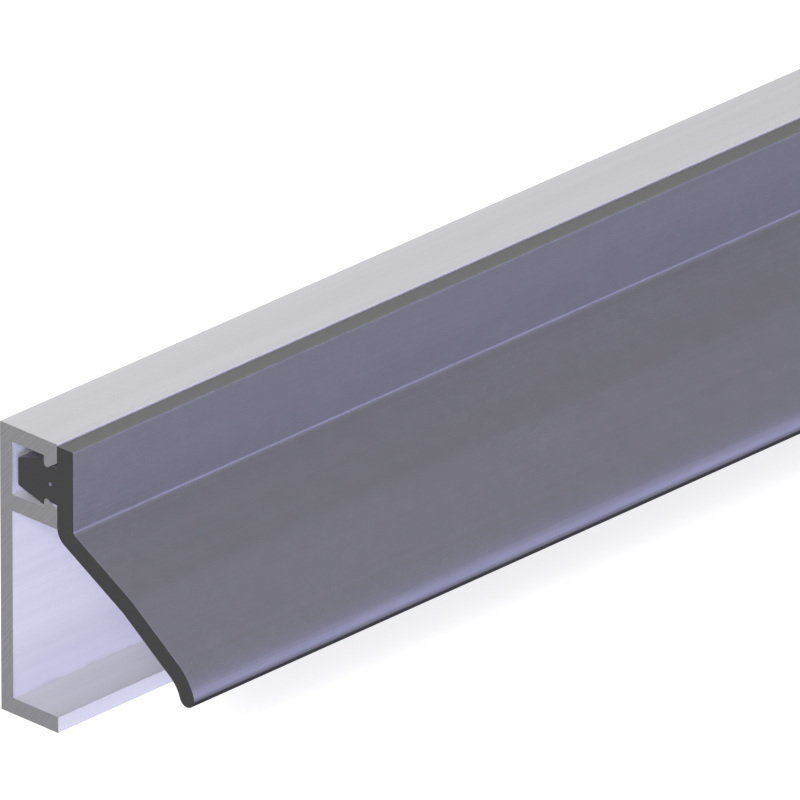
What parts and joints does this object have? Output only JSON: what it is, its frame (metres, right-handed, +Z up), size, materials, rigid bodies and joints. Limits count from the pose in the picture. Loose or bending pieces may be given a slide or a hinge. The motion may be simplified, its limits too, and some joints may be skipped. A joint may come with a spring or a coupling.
{
  "type": "door bottom seal",
  "caption": "Extruded aluminium carrier for the foot of a door, with a flared rubber blade pushed into its T-slot.",
  "frame": {"origin": "middle of the carrier's back face, which lies on the door, at half its length and half its height", "axes": "+X along the seal, +Y out of the back face into the door, +Z up, so the blade flares towards -Y and down"},
  "size_m": [0.6, 0.0338, 0.04],
  "materials": {
    "anodised_aluminium": "satin anodised extrusion with fine lines along its length",
    "black_rubber": "matt extruded rubber, dark grey",
    "glass_cord": "twisted fibre cord, off-white"
  },
  "bodies": {
    "root": {"carrier_profile": "anodised_aluminium", "blade_seal": "black_rubber", "stretch_cord": "glass_cord"}
  },
  "joints": []
}
